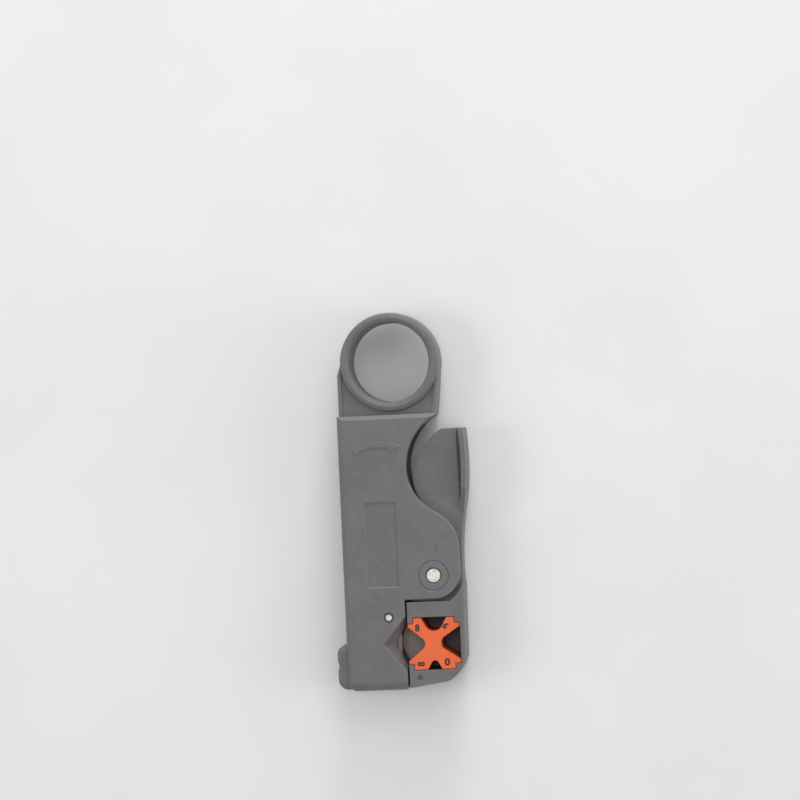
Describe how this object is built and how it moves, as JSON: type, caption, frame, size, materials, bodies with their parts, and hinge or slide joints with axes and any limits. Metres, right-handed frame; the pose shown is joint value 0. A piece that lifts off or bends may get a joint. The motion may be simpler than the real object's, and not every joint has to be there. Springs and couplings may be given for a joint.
{
  "type": "rotary coaxial cable stripper",
  "caption": "Rotary coaxial cable stripper with a finger ring, a sprung jaw worked by a thumb lever, a reversible orange V block and screw-adjusted blades.",
  "frame": {"origin": "centre of the footprint on the flat rear face, on which the tool lies", "axes": "+Y along the tool towards the finger ring, +X towards the thumb lever and jaw, +Z out of the front face"},
  "size_m": [0.0356, 0.0976, 0.015],
  "materials": {
    "body_plastic": "matte moulded",
    "jaw_plastic": "matte moulded",
    "orange_plastic": "satin moulded",
    "dark_plastic": "matte moulded",
    "steel": "plated",
    "blade_steel": "ground",
    "black_steel": "blackened",
    "spring_steel": "drawn wire",
    "brass": "turned"
  },
  "bodies": {
    "housing": {"body": "body_plastic", "pivot_pin": "steel", "return_spring": "spring_steel", "holder_pin": "steel", "holder_spacer": "steel", "front_insert": "brass", "rear_insert": "brass", "front_holder_spring": "spring_steel", "rear_holder_spring": "spring_steel"},
    "jaw": {"jaw_lever": "jaw_plastic"},
    "block": {"v_block": "orange_plastic"},
    "front_screw": {"front_set_screw": "black_steel"},
    "rear_screw": {"rear_set_screw": "black_steel"},
    "front_holder": {"front_blade_holder": "dark_plastic", "front_blade": "blade_steel", "front_clamp_screw": "steel"},
    "rear_holder": {"rear_blade_holder": "dark_plastic", "rear_blade": "blade_steel", "rear_clamp_screw": "steel"}
  },
  "joints": [
    {"name": "jaw_swing", "type": "hinge", "parent": "housing", "child": "jaw", "pos_m": [0.0084, -0.0195, 0.0075], "axis": [0, 0, 1], "range_deg": [0, 12], "stiffness_Nm_per_rad": 0.3, "springref_deg": -5.73, "deforming": ["return_spring"]},
    {"name": "block_lift", "type": "slide", "parent": "jaw", "child": "block", "axis": [0, 0, 1], "range_m": [0, 0.014]},
    {"name": "front_screw_travel", "type": "slide", "parent": "housing", "child": "front_screw", "axis": [1, 0, 0], "range_m": [-0.0006, 0.0006]},
    {"name": "front_holder_tilt", "type": "hinge", "parent": "housing", "child": "front_holder", "pos_m": [-0.00367, -0.02993, 0.01], "axis": [0, 0, 1], "range_deg": [-2.9, 2.9], "deforming": ["front_holder_spring"]},
    {"name": "rear_screw_travel", "type": "slide", "parent": "housing", "child": "rear_screw", "axis": [1, 0, 0], "range_m": [-0.0006, 0.0006]},
    {"name": "rear_holder_tilt", "type": "hinge", "parent": "housing", "child": "rear_holder", "pos_m": [-0.00367, -0.02993, 0.005], "axis": [0, 0, 1], "range_deg": [-2.9, 2.9], "deforming": ["rear_holder_spring"]}
  ],
  "couplings": [
    {"joint": "front_holder_tilt", "follows": "front_screw_travel", "rad_per_m": 81.5},
    {"joint": "rear_holder_tilt", "follows": "rear_screw_travel", "rad_per_m": 81.5}
  ]
}
